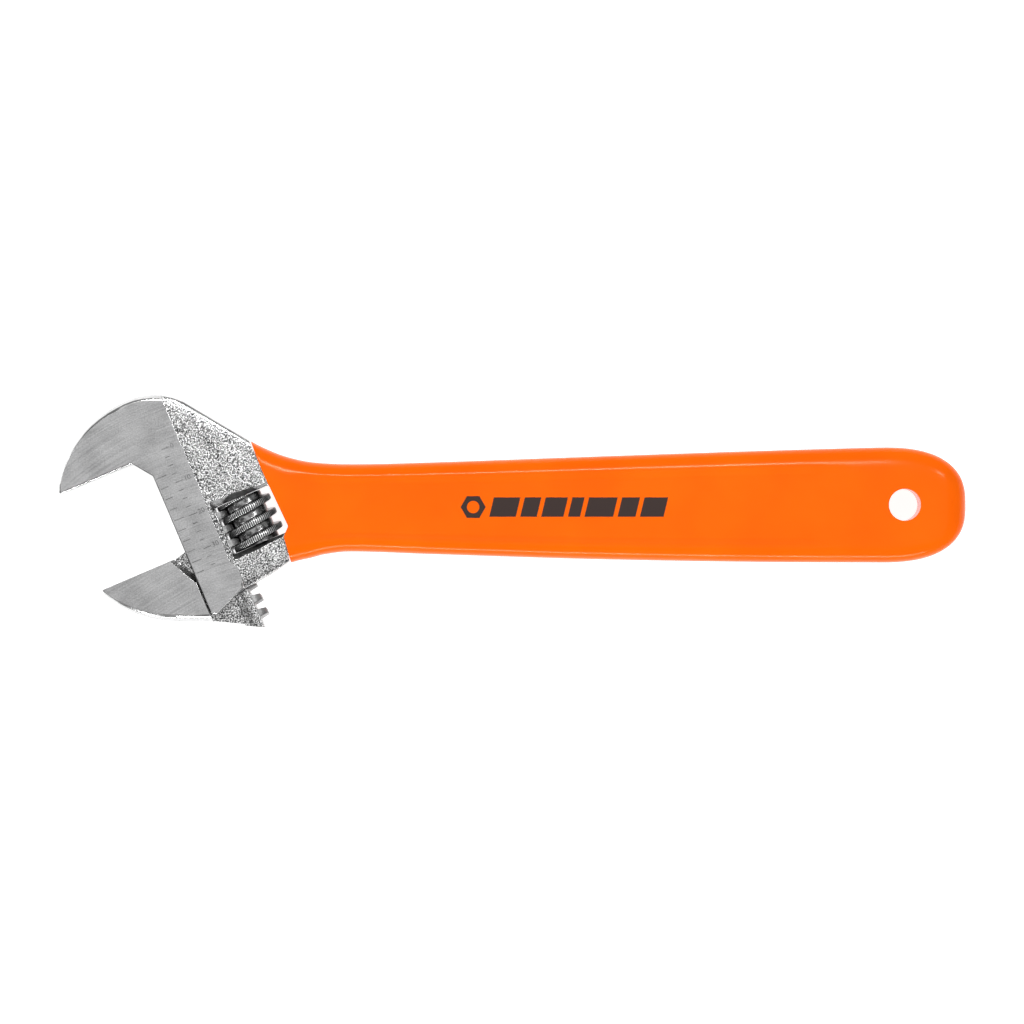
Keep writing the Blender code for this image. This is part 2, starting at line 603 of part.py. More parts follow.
def knurl_ridge():
    """The right-handed helical ridge, longer than the knurl at both ends."""
    root, crest = RIDGE_ROOT_THICKNESS / 2, RIDGE_CREST_THICKNESS / 2
    sunk = KNURL_CORE_RADIUS - RIDGE_SUNK
    shoulder = KNURL_RADIUS - RIDGE_SHOULDER
    profile = [(sunk, -root), (shoulder, -crest), (KNURL_RADIUS, -0.5 * crest),
               (KNURL_RADIUS, 0.5 * crest), (shoulder, crest), (sunk, root)]
    steps = RIDGE_TURNS * RING_STEPS
    back = RIDGE_SET_BACK / RING_STEPS  # in turns
    start = -RIDGE_TURNS * PITCH / 2 - back * PITCH
    bm = bmesh.new()
    face = bm.faces.new([bm.verts.new((-r, 0, start + h)) for r, h in profile])
    bmesh.ops.rotate(bm, verts=face.verts, matrix=Matrix.Rotation(-2 * math.pi * back, 3, "Z"))
    bmesh.ops.spin(bm, geom=[face, *face.edges, *face.verts], cent=(0, 0, 0), axis=(0, 0, 1),
                   dvec=(0, 0, PITCH / RING_STEPS), angle=RIDGE_TURNS * 2 * math.pi, steps=steps)
    return add_object("knurl_ridge", mesh_from(bm, "knurl_ridge"), knurl_place(), tool=True)


def knurl_place():
    """The knurl's own place: its middle on its axis, z towards the fixed jaw."""
    return on_axis(KNURL_X, KNURL_Y)


def make_knurl():
    """The knurl: a core with a helical ridge, bored for its pin and pocketed for its spring."""
    half = KNURL_LENGTH / 2
    long_core = cylinder(KNURL_CORE_RADIUS, -half - PITCH, half + PITCH)
    knurl = turned("knurl", long_core, knurl_place())
    combine(knurl, knurl_ridge(), "UNION")
    ends = cylinder(KNURL_RADIUS + MM, -half, half)
    combine(knurl, turned("knurl_ends", ends, knurl_place(), tool=True), "INTERSECT")
    bore, pocket = PIN_RADIUS + PIN_CLEARANCE, SPRING_POCKET_RADIUS
    floor = half - SPRING_POCKET_DEPTH
    hole = [(0, half + MM), (pocket, half + MM), (pocket, floor), (bore, floor),
            (bore, -half - MM), (0, -half - MM)]
    combine(knurl, turned("knurl_bore", hole, knurl_place(), tool=True))
    paint(knurl, "dark_knurl_steel", KNURL_STEEL)


def make_pin():
    """The slotted pin that carries the knurl, screwed in from the head's lower edge."""
    top = WINDOW_TOP_Y + PIN_BLIND_DEPTH
    seat = WINDOW_BOTTOM_Y - PIN_SEAT_BELOW_WINDOW
    end = seat - PIN_THREAD_LENGTH
    nip = 0.4 * MM
    profile = [(0, top), (PIN_RADIUS - nip, top), (PIN_RADIUS, top - nip), (PIN_RADIUS, seat),
               (PIN_THREAD_RADIUS - nip, seat), (PIN_THREAD_RADIUS, seat - nip),
               (PIN_THREAD_RADIUS, end + nip), (PIN_THREAD_RADIUS - nip, end), (0, end)]
    pin = turned("knurl_pin", profile, on_axis(KNURL_X))
    width, depth = PIN_SLOT
    side = 2 * PIN_THREAD_RADIUS
    slot = [(KNURL_X - side, end - MM), (KNURL_X - side, end + depth),
            (KNURL_X + side, end + depth), (KNURL_X + side, end - MM)]
    combine(pin, prism("driver_slot", slot, width / 2, JAW_FRAME, tool=True))
    paint(pin, "pin_steel", STEEL)


def make_spring():
    """The small coil spring in the knurl's pocket, which takes up the end play."""
    high = WINDOW_TOP_Y - GAP - SPRING_WIRE_RADIUS
    low = KNURL_TOP_Y - SPRING_POCKET_DEPTH + GAP + SPRING_WIRE_RADIUS
    points_a_turn = 12
    count = SPRING_TURNS * points_a_turn
    curve = bpy.data.curves.new("knurl_spring", "CURVE")
    curve.dimensions = "3D"
    curve.bevel_depth = SPRING_WIRE_RADIUS
    curve.bevel_resolution = 1
    curve.use_fill_caps = True
    wire = curve.splines.new("POLY")
    wire.points.add(count)
    for i, point in enumerate(wire.points):
        angle = 2 * math.pi * i / points_a_turn
        height = low + (high - low) * i / count
        point.co = (SPRING_RADIUS * math.cos(angle), SPRING_RADIUS * math.sin(angle), height, 1)
    coil = add_object("knurl_spring", curve, on_axis(KNURL_X))
    paint(coil, "spring_steel", SPRING_STEEL)


# ---------------------------------------------------------------- grip

def make_grip():
    """The dipped vinyl grip: a slab with soft edges, hollow for the bar, lining the hang hole."""
    rings = handle_sections(0.0, GRIP_THICKNESS / 2, GRIP_EDGE_POWER, GRIP_POINTS,
                            GRIP_STATIONS, GRIP_START, HANDLE_END, END_CAP)
    grip = loft("grip", rings)
    edge = mouth()
    head_side = [(-5 * MM, edge[0][1]), *edge, (-5 * MM, edge[-1][1])]
    combine(grip, prism("head_zone", head_side, JAW_THICKNESS, JAW_FRAME, tool=True))
    combine(grip, handle_bar("bar_space", GAP))
    hole = turned("hang_hole", cylinder(HOLE_RADIUS, -JAW_THICKNESS, JAW_THICKNESS),
                  hole_place(), tool=True)
    combine(grip, hole)
    paint(grip, "orange_vinyl", ORANGE_VINYL)


# ---------------------------------------------------------------- assembly

def stand_on_floor():
    """Move the assembly so that its origin is under its middle, at its lowest level."""
    bpy.context.view_layer.update()
    graph = bpy.context.evaluated_depsgraph_get()
    corners = []
    for item in PARTS.objects:
        if item.type in {"MESH", "CURVE"}:
            solid = item.evaluated_get(graph)
            mesh = solid.to_mesh()
            corners += [solid.matrix_world @ vertex.co for vertex in mesh.vertices]
            solid.to_mesh_clear()
    low = [min(corner[k] for corner in corners) for k in range(3)]
    high = [max(corner[k] for corner in corners) for k in range(3)]
    ORIGIN.location = (-(low[0] + high[0]) / 2, -(low[1] + high[1]) / 2, -low[2])


make_body()
make_movable_jaw()
make_knurl()
make_pin()
make_spring()
make_grip()
stand_on_floor()
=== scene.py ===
"""Looks of the adjustable wrench: chromed forging, hook jaw, knurl and dipped orange grip."""

import json
import math

import bpy
from mathutils import Matrix, Vector

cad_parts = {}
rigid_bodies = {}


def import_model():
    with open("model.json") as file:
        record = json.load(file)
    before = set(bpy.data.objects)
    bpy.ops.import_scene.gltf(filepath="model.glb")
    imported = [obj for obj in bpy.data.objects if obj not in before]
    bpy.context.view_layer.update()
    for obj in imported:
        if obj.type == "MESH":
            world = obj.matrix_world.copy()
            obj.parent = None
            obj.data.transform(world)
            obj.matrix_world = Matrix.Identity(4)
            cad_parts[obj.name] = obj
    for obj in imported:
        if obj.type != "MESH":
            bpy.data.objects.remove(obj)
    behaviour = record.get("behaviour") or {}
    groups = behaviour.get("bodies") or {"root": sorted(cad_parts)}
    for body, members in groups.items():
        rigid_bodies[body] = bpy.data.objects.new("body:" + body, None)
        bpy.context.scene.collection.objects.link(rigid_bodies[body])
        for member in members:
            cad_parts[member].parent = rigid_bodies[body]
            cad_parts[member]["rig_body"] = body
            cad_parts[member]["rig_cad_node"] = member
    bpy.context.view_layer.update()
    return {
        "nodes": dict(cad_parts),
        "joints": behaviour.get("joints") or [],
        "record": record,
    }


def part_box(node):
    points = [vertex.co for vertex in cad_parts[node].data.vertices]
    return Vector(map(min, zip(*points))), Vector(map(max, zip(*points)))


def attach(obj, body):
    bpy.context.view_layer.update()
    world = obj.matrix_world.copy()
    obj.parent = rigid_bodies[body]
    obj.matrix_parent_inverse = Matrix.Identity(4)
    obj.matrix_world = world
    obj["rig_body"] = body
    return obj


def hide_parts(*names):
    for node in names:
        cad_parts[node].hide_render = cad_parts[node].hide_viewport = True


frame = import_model()

MM = 0.001

# ---------------------------------------------------------------- places taken from the frame

JOINTS = {joint["name"]: joint for joint in frame["joints"]}
MOUNTS = {mount["name"]: mount for mount in frame["record"]["mounts"]}
OPENING_AXIS = Vector(JOINTS["jaw_slide"]["axis"])  # from the fixed jaw to the sliding one
HEAD_ANGLE = math.atan2(OPENING_AXIS.x, -OPENING_AXIS.y)
ACROSS = Vector((math.cos(HEAD_ANGLE), math.sin(HEAD_ANGLE), 0))
FACE_POINT_TO_THROAT = 14.0 * MM
CORNER = Vector(MOUNTS["fixed_jaw_face"]["pos_m"]) + ACROSS * FACE_POINT_TO_THROAT
OPENING = (Vector(MOUNTS["movable_jaw_face"]["pos_m"])
           - Vector(MOUNTS["fixed_jaw_face"]["pos_m"])).dot(OPENING_AXIS)
HALF_THICKNESS = CORNER.z  # the head's; it lies on the floor
HANDLE_FRAME = Matrix.Translation(CORNER)
JAW_FRAME = HANDLE_FRAME @ Matrix.Rotation(HEAD_ANGLE, 4, "Z")
KNURL_MIDDLE = JAW_FRAME.inverted() @ Vector(JOINTS["knurl_spin"]["pos_m"])
HANDLE_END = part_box("grip")[1].x - CORNER.x
RAIL_AXIS_X = 11.3 * MM

# Camera: straight above, framed a little wider than the wrench
VIEW_CENTRE = CORNER + Vector((102.45, -14.88, 0)) * MM
VIEW_WIDTH = 287.3 * MM
LENS = 200.0
SENSOR = 36.0


# ---------------------------------------------------------------- helpers

def deselect():
    """Leave nothing selected."""
    bpy.ops.object.select_all(action="DESELECT")


def pick(*items):
    """Select these objects only, the first one active."""
    deselect()
    for item in items:
        item.select_set(True)
    bpy.context.view_layer.objects.active = items[0]


def apply_modifier(item, kind, **settings):
    """Add one modifier with its settings and apply it."""
    pick(item)
    modifier = item.modifiers.new(kind.lower(), kind)
    for key, value in settings.items():
        setattr(modifier, key, value)
    bpy.ops.object.modifier_apply(modifier=modifier.name)


def cut(item, tool, operation="DIFFERENCE"):
    """Boolean with a tool that is then thrown away."""
    apply_modifier(item, "BOOLEAN", object=tool, operation=operation, solver="EXACT")
    bpy.data.objects.remove(tool)


def join(name, items):
    """Several objects made one."""
    pick(*items)
    if len(items) > 1:
        bpy.ops.object.join()
    items[0].name = name
    return items[0]


def grid_over(name, columns, rows, shape, close=True):
    """A grid laid over a form: shape gives the point for a column and a row, both 0 to 1."""
    deselect()
    bpy.ops.mesh.primitive_grid_add(x_subdivisions=columns, y_subdivisions=rows, size=2)
    piece = bpy.context.object
    piece.name = name
    for vertex in piece.data.vertices:
        vertex.co = shape((vertex.co.x + 1) / 2, (vertex.co.y + 1) / 2)
    bpy.ops.object.mode_set(mode="EDIT")
    bpy.ops.mesh.select_all(action="SELECT")
    bpy.ops.mesh.remove_doubles(threshold=0.003 * MM)
    if close:
        bpy.ops.mesh.fill_holes(sides=0)
    bpy.ops.mesh.select_all(action="SELECT")
    bpy.ops.mesh.normals_make_consistent(inside=False)
    bpy.ops.object.mode_set(mode="OBJECT")
    return piece


def prism(name, outline, low, high):
    """A closed outline of points in x and y, extruded from one height to another."""
    deselect()
    bpy.ops.mesh.primitive_circle_add(vertices=len(outline), fill_type="NGON")
    piece = bpy.context.object
    piece.name = name
    for vertex, (x, y) in zip(piece.data.vertices, outline):
        vertex.co = (x, y, low)
    bpy.ops.object.mode_set(mode="EDIT")
    bpy.ops.mesh.select_all(action="SELECT")
    bpy.ops.mesh.extrude_region_move(TRANSFORM_OT_translate={"value": (0, 0, high - low)})
    bpy.ops.mesh.select_all(action="SELECT")
    bpy.ops.mesh.normals_make_consistent(inside=False)
    bpy.ops.object.mode_set(mode="OBJECT")
    return piece


def soften(item, width, segments, angle=28):
    """Nip every edge that is sharper than the angle, in degrees."""
    apply_modifier(item, "BEVEL", width=width, segments=segments, limit_method="ANGLE",
                   angle_limit=math.radians(angle), use_clamp_overlap=False,
                   miter_outer="MITER_ARC")


def trim_to_faces(item):
    """Bring back the corners that the nipped edges pushed past the two ground faces."""
    for vertex in item.data.vertices:
        vertex.co.z = min(max(vertex.co.z, 0), 2 * HALF_THICKNESS)


def smooth(item, angle=35):
    """Smooth shading that keeps large flats flat."""
    pick(item)
    bpy.ops.object.shade_smooth_by_angle(angle=math.radians(angle))
    apply_modifier(item, "WEIGHTED_NORMAL", keep_sharp=True, weight=80)


def worked_copy(node, name):
    """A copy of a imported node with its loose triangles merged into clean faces."""
    pick(frame["nodes"][node])
    bpy.ops.object.duplicate()
    piece = bpy.context.object
    piece.name = name
    piece.parent = None
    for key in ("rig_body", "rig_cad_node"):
        del piece[key]
    piece.data.materials.clear()
    bpy.ops.object.mode_set(mode="EDIT")
    bpy.ops.mesh.select_all(action="SELECT")
    bpy.ops.mesh.customdata_custom_splitnormals_clear()
    bpy.ops.mesh.remove_doubles(threshold=0.004 * MM)
    bpy.ops.mesh.dissolve_limited(angle_limit=math.radians(1.0))
    bpy.ops.object.mode_set(mode="OBJECT")
    return piece


def ease(value, low, high):
    """Smooth step from 0 at low to 1 at high."""
    t = min(max((value - low) / (high - low), 0.0), 1.0)
    return t * t * (3 - 2 * t)


def superellipse(angle, power):
    """Point of a unit superellipse at an angle."""
    cos, sin = math.cos(angle), math.sin(angle)
    return (math.copysign(abs(cos) ** (2 / power), cos),
            math.copysign(abs(sin) ** (2 / power), sin))


def finish_faces(item, materials, choose):
    """Give each face the material that choose picks by its middle and normal in the jaw frame."""
    for material in materials:
        item.data.materials.append(material)
    into_jaw = JAW_FRAME.inverted()
    for face in item.data.polygons:
        picked = choose(into_jaw @ face.center, into_jaw.to_3x3() @ face.normal)
        face.material_index = materials.index(picked)


# ---------------------------------------------------------------- materials

class Finish:
    """A material's nodes, with short ways to add and join them."""

    def __init__(self, name, colour, metallic, roughness):
        self.material = bpy.data.materials.new(name)
        self.material.use_nodes = True
        self.nodes = self.material.node_tree.nodes
        self.links = self.material.node_tree.links
        self.shader = self.nodes["Principled BSDF"]
        self.shader.inputs["Base Color"].default_value = (*colour, 1)
        self.shader.inputs["Metallic"].default_value = metallic
        self.shader.inputs["Roughness"].default_value = roughness

    def node(self, kind, settings=None, **inputs):
        """Add a node; an input is a number, a tuple or another node's output."""
        made = self.nodes.new(kind)
        for key, value in (settings or {}).items():
            setattr(made, key, value)
        for key, value in inputs.items():
            self.feed(made.inputs[key.replace("_", " ")], value)
        return made

    def feed(self, socket, value):
        """Set a socket, or join an output to it."""
        if isinstance(value, bpy.types.NodeSocket):
            self.links.new(value, socket)
        else:
            socket.default_value = value

    def place(self, location=(0, 0, 0), turn=0.0, scale=(1, 1, 1)):
        """Object coordinates moved, turned and scaled."""
        where = self.node("ShaderNodeTexCoord").outputs["Object"]
        moved = self.node("ShaderNodeVectorMath", {"operation": "SUBTRACT"})
        self.feed(moved.inputs[0], where)
        self.feed(moved.inputs[1], tuple(location))
        turned = self.node("ShaderNodeMapping", {"vector_type": "POINT"},
                           Vector=moved.outputs[0], Rotation=(0, 0, -turn))
        sized = self.node("ShaderNodeMapping", {"vector_type": "POINT"},
                          Vector=turned.outputs[0], Scale=scale)
        return sized.outputs[0]

    def noise(self, where, scale, detail=2.0, roughness=0.5):
        """Noise at so many waves to the metre, from 0 to 1."""
        return self.node("ShaderNodeTexNoise", Vector=where, Scale=scale, Detail=detail,
                         Roughness=roughness).outputs["Fac"]

    def ramp(self, value, stops):
        """Colours for a value: pairs of a position and a grey or a colour."""
        made = self.node("ShaderNodeValToRGB", Fac=value)
        ramp = made.color_ramp
        while len(ramp.elements) < len(stops):
            ramp.elements.new(0.5)
        for element, (position, colour) in zip(ramp.elements, stops):
            element.position = position
            if not isinstance(colour, tuple):
                colour = (colour, colour, colour)
            element.color = (*colour, 1)
        return made.outputs["Color"]

    def mix(self, first, second, share):
        """Two numbers or two colours, mixed by a share of the second."""
        colours = isinstance(first, bpy.types.NodeSocketColor)
        made = self.node("ShaderNodeMix", {"data_type": "RGBA" if colours else "FLOAT"})
        factor, one, two = (0, 6, 7) if colours else (0, 2, 3)
        self.feed(made.inputs[factor], share)
        self.feed(made.inputs[one], first)
        self.feed(made.inputs[two], second)
        return made.outputs[2 if colours else 0]

    def span(self, value, low, high):
        """A value from 0 to 1 stretched between two others."""
        return self.node("ShaderNodeMapRange", Value=value, To_Min=low, To_Max=high).outputs[0]

    def bump(self, height, depth, strength=1.0, under=None):
        """Relief of a depth in metres, over another relief if there is one."""
        made = self.node("ShaderNodeBump", Height=height, Distance=depth, Strength=strength)
        if under is not None:
            self.links.new(under, made.inputs["Normal"])
        return made.outputs["Normal"]


LAPPING_ROWS = 3200.0  # grinding lines to the metre
LAPPING_AROUND = 3.0  # changes of shade to the radian, along a grinding line


def ground_chrome(name, lapping):
    """Satin ground steel under thin chrome, with fine grinding lines."""
    finish = Finish(name, (0.5, 0.5, 0.505), 1.0, 0.34)
    lines = finish.noise(lapping(finish), 1.0, 3.0, 0.6)
    grit = finish.noise(finish.place(), 2600.0, 2.0, 0.6)
    cloud = finish.noise(finish.place(), 150.0, 2.0)
    shade = finish.mix(finish.mix(lines, grit, 0.55), cloud, 0.25)
    colour = finish.ramp(shade, [(0.38, (0.29, 0.29, 0.292)), (0.62, (0.55, 0.55, 0.553))])
    finish.links.new(colour, finish.shader.inputs["Base Color"])
    finish.links.new(finish.span(shade, 0.3, 0.42), finish.shader.inputs["Roughness"])
    finish.links.new(finish.bump(shade, 0.012 * MM, 0.5), finish.shader.inputs["Normal"])
    return finish.material


def straight_lapping(turn):
    """Grinding lines along one direction."""
    def lines(finish):
        return finish.place(CORNER, turn, (60, LAPPING_ROWS, 60))
    return lines


def round_lapping(centre):
    """Grinding lines on circles about a point of the jaw frame."""
    def lines(finish):
        where = finish.place(JAW_FRAME @ centre)
        parts = finish.node("ShaderNodeSeparateXYZ", Vector=where)
        flat = finish.node("ShaderNodeCombineXYZ", X=parts.outputs[0], Y=parts.outputs[1])
        radius = finish.node("ShaderNodeVectorMath", {"operation": "LENGTH"})
        finish.links.new(flat.outputs[0], radius.inputs[0])
        angle = finish.node("ShaderNodeMath", {"operation": "ARCTAN2"})
        finish.links.new(parts.outputs[1], angle.inputs[0])
        finish.links.new(parts.outputs[0], angle.inputs[1])
        rows = finish.node("ShaderNodeMath", {"operation": "MULTIPLY"})
        finish.links.new(radius.outputs["Value"], rows.inputs[0])
        rows.inputs[1].default_value = LAPPING_ROWS
        turns = finish.node("ShaderNodeMath", {"operation": "MULTIPLY"})
        finish.links.new(angle.outputs[0], turns.inputs[0])
        turns.inputs[1].default_value = LAPPING_AROUND
        lapping = finish.node("ShaderNodeCombineXYZ", X=rows.outputs[0], Y=turns.outputs[0])
        return lapping.outputs[0]
    return lines


def blasted_chrome(name, smooth_edge=None):
    """Chrome over a shot-blasted forging: small facets in the bump, with painted glints and
    painted dark specks in the base colour for their reflections.

    smooth_edge is the place, direction and width of a straight edge kept smooth and bright.
    """
    finish = Finish(name, (0.6, 0.6, 0.6), 1.0, 0.3)
    where = finish.place()
    grain = finish.noise(where, 2700.0, 2.0, 0.6)
    patches = finish.noise(where, 260.0, 2.0)
    shade = finish.mix(grain, patches, 0.1)
    # This ramp paints glints (up to white) and dark specks (near black) into the base colour:
    # painted highlights and painted shade for the facets' reflections.
    colour = finish.ramp(shade, [(0.39, 0.03), (0.48, 0.25), (0.54, 0.58), (0.6, 1.0)])
    height, roughness = grain, finish.span(grain, 0.2, 0.45)
    if smooth_edge is not None:
        location, turn, width = smooth_edge
        parts = finish.node("ShaderNodeSeparateXYZ", Vector=finish.place(location, turn))
        near = finish.node("ShaderNodeMapRange", Value=parts.outputs["Y"], From_Min=-1.15 * width,
                           From_Max=-0.85 * width).outputs[0]
        waves = finish.noise(where, 420.0, 3.0, 0.6)
        colour = finish.mix(colour, finish.ramp(waves, [(0.3, 0.34), (0.62, 0.6)]), near)
        roughness = finish.mix(roughness, 0.22, near)
        height = finish.mix(height, waves, near)
    finish.links.new(colour, finish.shader.inputs["Base Color"])
    finish.links.new(roughness, finish.shader.inputs["Roughness"])
    finish.links.new(finish.bump(height, 0.06 * MM, 1.0), finish.shader.inputs["Normal"])
    return finish.material


def rolled_chrome(name, dark, light, roughness=0.16):
    """Chrome on forged, polished or milled surfaces, a little wavy."""
    finish = Finish(name, (light, light, light), 1.0, roughness)
    where = finish.place()
    waves = finish.noise(where, 300.0, 3.0, 0.6)
    colour = finish.ramp(waves, [(0.3, dark), (0.62, light)])
    finish.links.new(colour, finish.shader.inputs["Base Color"])
    finish.links.new(finish.span(waves, roughness - 0.05, roughness + 0.09),
                     finish.shader.inputs["Roughness"])
    finish.links.new(finish.bump(waves, 0.04 * MM, 0.5), finish.shader.inputs["Normal"])
    return finish.material


def knurl_steel(name, dark, light, roughness):
    """Dark oiled steel, turned and then knurled; in lighter and darker greys it also paints the
    crest's highlight and the grooves' shade.
    """
    finish = Finish(name, (light, light, light), 1.0, roughness)
    stain = finish.noise(finish.place(), 800.0, 3.0, 0.6)
    colour = finish.ramp(stain, [(0.36, dark), (0.62, light)])
    finish.links.new(colour, finish.shader.inputs["Base Color"])
    finish.links.new(finish.span(stain, roughness - 0.05, roughness + 0.1),
                     finish.shader.inputs["Roughness"])
    return finish.material


def bright_steel(name, colour, roughness):
    """Turned steel of the pin and the spring's wire."""
    finish = Finish(name, colour, 1.0, roughness)
    grain = finish.noise(finish.place(), 2500.0, 2.0)
    finish.links.new(finish.span(grain, roughness - 0.06, roughness + 0.08),
                     finish.shader.inputs["Roughness"])
    return finish.material


def dipped_vinyl(name):
    """Glossy orange vinyl with the faint waviness of a dipped skin."""
    finish = Finish(name, (0.95, 0.13, 0.003), 0.0, 0.3)
    finish.shader.inputs["Specular IOR Level"].default_value = 0.13
    finish.shader.inputs["Specular Tint"].default_value = (1.0, 0.82, 0.6, 1.0)
    where = finish.place()
    slow = finish.noise(where, 55.0, 2.0)
    pores = finish.noise(where, 1600.0, 2.0)
    colour = finish.ramp(slow, [(0.3, (0.9, 0.118, 0.0012)), (0.7, (0.95, 0.136, 0.0016))])
    finish.links.new(colour, finish.shader.inputs["Base Color"])
    finish.links.new(finish.span(pores, 0.12, 0.2), finish.shader.inputs["Roughness"])
    wavy = finish.bump(slow, 0.2 * MM, 0.3)
    finish.links.new(finish.bump(pores, 0.006 * MM, 0.4, wavy), finish.shader.inputs["Normal"])
    return finish.material


def print_ink(name):
    """Dark brown ink printed on the vinyl."""
    finish = Finish(name, (0.042, 0.027, 0.024), 0.0, 0.38)
    finish.shader.inputs["Specular IOR Level"].default_value = 0.15
    speck = finish.noise(finish.place(), 1800.0, 2.0)
    finish.links.new(finish.span(speck, 0.32, 0.46), finish.shader.inputs["Roughness"])
    return finish.material


LAPPING_CENTRE = Vector((4, -78, 0)) * MM
SHOULDER_START = JAW_FRAME @ (Vector((15.8, 11.0, 0)) * MM)
SHOULDER_TURN = HEAD_ANGLE + math.atan2(-30.4, 22.4)
SHOULDER_STRIP = 1.1 * MM
HEAD_GROUND = ground_chrome("ground_face_of_head", round_lapping(LAPPING_CENTRE))
JAW_GROUND = ground_chrome("ground_face_of_jaw", straight_lapping(math.radians(31)))
BLASTED = blasted_chrome("blasted_chrome")
BLASTED_NECK = blasted_chrome("blasted_neck", (SHOULDER_START, SHOULDER_TURN, SHOULDER_STRIP))
ROLLED = rolled_chrome("rolled_bright_chrome", 0.47, 0.6)
MILLED = rolled_chrome("milled_teeth", 0.16, 0.36, 0.42)
# Dark chrome for the window walls and the jaw's drafted relief band: painted shade for the shade
# that falls in these hollows.
SHADED = rolled_chrome("painted_shade_inner_wall", 0.1, 0.32, 0.34)
ENGRAVED = rolled_chrome("engraved_line", 0.12, 0.26, 0.4)
KNURL = knurl_steel("knurl_core_steel", 0.12, 0.42, 0.2)
# The crest lands are painted lighter than the core as a painted highlight, and the grooves near
# black as painted shade.
KNURL_LAND_PAINTED_HIGHLIGHT = knurl_steel("knurl_crest_painted_highlight", 0.5, 0.8, 0.36)
KNURL_GROOVE_PAINTED_SHADE = knurl_steel("knurl_groove_painted_shade", 0.02, 0.06, 0.4)
PIN = bright_steel("pin_steel", (0.55, 0.55, 0.56), 0.24)
SPRING = bright_steel("spring_wire", (0.42, 0.42, 0.43), 0.3)
VINYL = dipped_vinyl("orange_dipped_vinyl")
INK = print_ink("dark_print")


# ---------------------------------------------------------------- forging and sliding jaw

SCALE_STEP = 3.175 * MM
SCALE_DEPTH = 0.14 * MM
SCALE_LINE = 0.22 * MM
NUMERAL_HEIGHT = 2.0 * MM
SCALE_BAND_X = 10 * MM
SCALE_MIDDLE_Y = -17 * MM
SCALE_REACH = 19 * MM  # to each side of its middle
GROUND_LEVEL = HALF_THICKNESS - 0.06 * MM
NECK_X = 9.5 * MM
WINDOW_LEFT_X = 11.7 * MM
WINDOW_REACH = 10.5 * MM  # above and below the knurl's middle
TOOTH_ROOT = 0.95 * MM  # to the right of the rail's axis
RAIL_REACH = 4.3 * MM
WEB_LEVEL = 2.4 * MM


def on_ground_face(middle, normal):
    """Whether a face belongs to one of the two flats that are ground."""
    return abs(middle.z) > GROUND_LEVEL and abs(normal.z) > 0.98


def scale_line(x, y, length):
    """Cutter for one engraved line of the scale, across the band beside the throat."""
    deselect()
    middle = JAW_FRAME @ Vector((x + length / 2, y, HALF_THICKNESS))
    bpy.ops.mesh.primitive_cube_add(size=1, location=middle, rotation=(0, 0, HEAD_ANGLE),
                                    scale=(length, SCALE_LINE, 2 * SCALE_DEPTH))
    return bpy.context.object


def scale_numeral(text, x, y):
    """Cutter for one engraved number of the scale."""
    deselect()
    place = JAW_FRAME @ Vector((x, y, HALF_THICKNESS))
    bpy.ops.object.text_add(location=place, rotation=(0, 0, HEAD_ANGLE))
    numeral = bpy.context.object
    numeral.data.body = text
    numeral.data.size = NUMERAL_HEIGHT
    numeral.data.align_y = "CENTER"
    numeral.data.extrude = SCALE_DEPTH
    numeral.data.resolution_u = 3
    pick(numeral)
    bpy.ops.object.convert(target="MESH")
    bpy.ops.object.mode_set(mode="EDIT")
    bpy.ops.mesh.select_all(action="SELECT")
    bpy.ops.mesh.remove_doubles(threshold=0.002 * MM)
    bpy.ops.mesh.normals_make_consistent(inside=False)
    bpy.ops.object.mode_set(mode="OBJECT")
    return numeral


def engraved_scale():
    """All the lines and numbers of the two scales, as one cutter."""
    marks = []
    for i in range(12):
        length = (3.0 if i % 4 == 0 else 2.2) * MM
        marks.append(scale_line(0.7 * MM, -6.5 * MM - i * SCALE_STEP, length))
    for i in range(15):
        length = (2.2 if i % 4 == 0 else 1.4) * MM
        marks.append(scale_line(5.2 * MM, 0.5 * MM - i * 2.5 * MM, length))
    for i in range(4):
        marks.append(scale_numeral(str(10 * i), 7.8 * MM, 0.5 * MM - i * 10 * MM))
    return join("engraved_scale", marks)


def make_head():
    """The forged frame: ground faces, blasted recesses, bright rolled edges, engraved scale,
    painted shade on the window walls.
    """
    head = worked_copy("body", "forged_head")
    soften(head, 0.16 * MM, 2)
    trim_to_faces(head)
    cut(head, engraved_scale())

    def choose(middle, normal):
        height = abs(middle.z)
        if on_ground_face(middle, normal):
            return HEAD_GROUND
        beside_scale = middle.x < SCALE_BAND_X and abs(middle.y - SCALE_MIDDLE_Y) < SCALE_REACH
        if beside_scale and height > GROUND_LEVEL - 0.1 * MM:
            return ENGRAVED
        if middle.x > NECK_X and abs(normal.z) > 0.75 and height < GROUND_LEVEL - 0.25 * MM:
            return BLASTED_NECK
        in_window = middle.x > WINDOW_LEFT_X and abs(middle.y - KNURL_MIDDLE.y) < WINDOW_REACH
        # The window's walls get SHADED: painted shade for the hollow.
        if in_window and abs(normal.y) > 0.4:
            return SHADED
        return ROLLED

    finish_faces(head, (HEAD_GROUND, BLASTED_NECK, ROLLED, SHADED, ENGRAVED), choose)
    smooth(head)
    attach(head, "frame")
    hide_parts("body")


